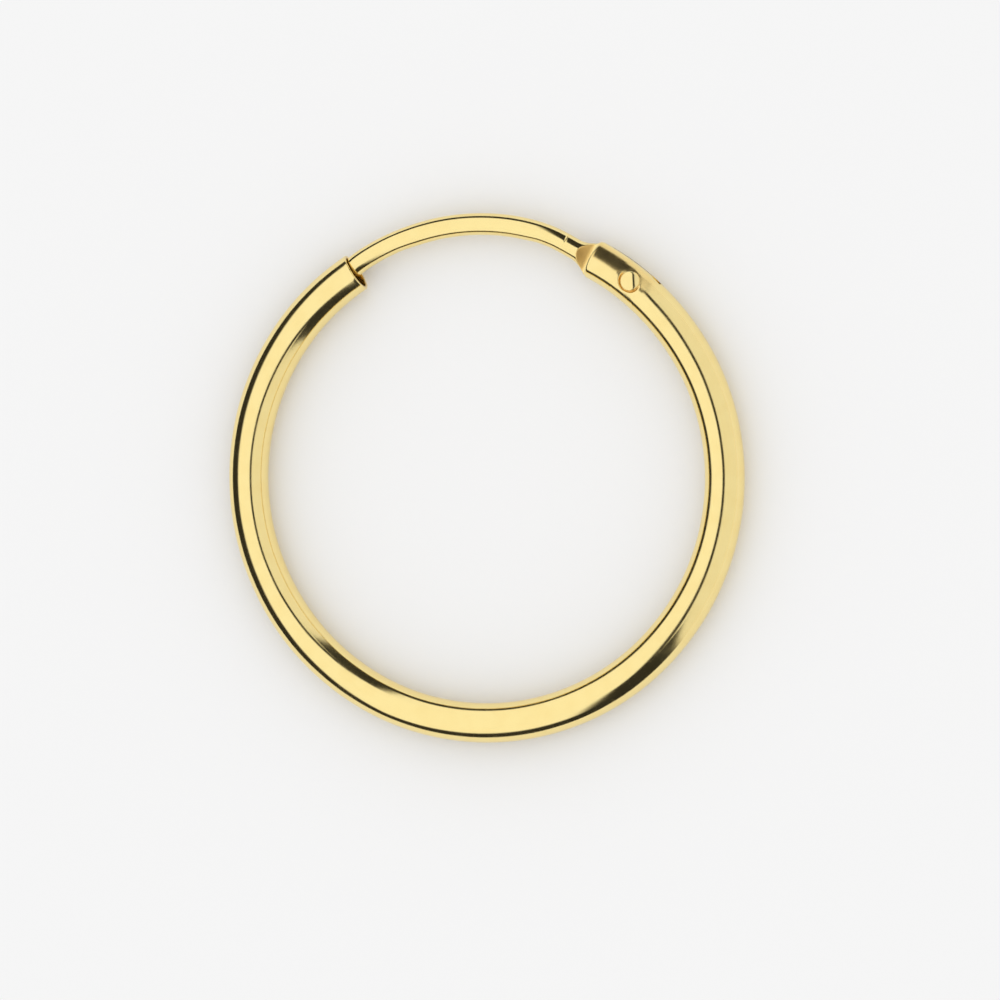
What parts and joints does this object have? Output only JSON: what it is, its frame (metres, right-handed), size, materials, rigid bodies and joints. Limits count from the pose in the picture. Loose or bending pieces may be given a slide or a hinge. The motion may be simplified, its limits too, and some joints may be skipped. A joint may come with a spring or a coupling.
{
  "type": "hoop earring",
  "caption": "Round hinged hoop earring: a hollow polished gold tube closed by a thinner ear wire that swings out on a rivet and springs into the tube's open end.",
  "frame": {"origin": "on the hoop's axis, in the plane that the hoop lies on; the middle of the bounding box's bottom", "axes": "+Z is the hoop's axis, up when it lies on its side with the rivet's head on top; +Y points from the hoop's centre to the middle of the ear wire; +X is the hinge's side"},
  "size_m": [0.02, 0.02, 0.0016],
  "materials": {
    "tube_gold": "polished gold",
    "wire_gold": "polished gold",
    "rivet_gold": "polished gold"
  },
  "bodies": {
    "hoop": {"hoop_tube": "tube_gold", "hinge_rivet": "rivet_gold"},
    "wire": {"ear_wire": "wire_gold"}
  },
  "joints": [
    {"name": "wire_hinge", "type": "hinge", "parent": "hoop", "child": "wire", "pos_m": [0.00615, 0.00702, 0.00075], "axis": [0, 0, -1], "range_deg": [0, 90]}
  ]
}
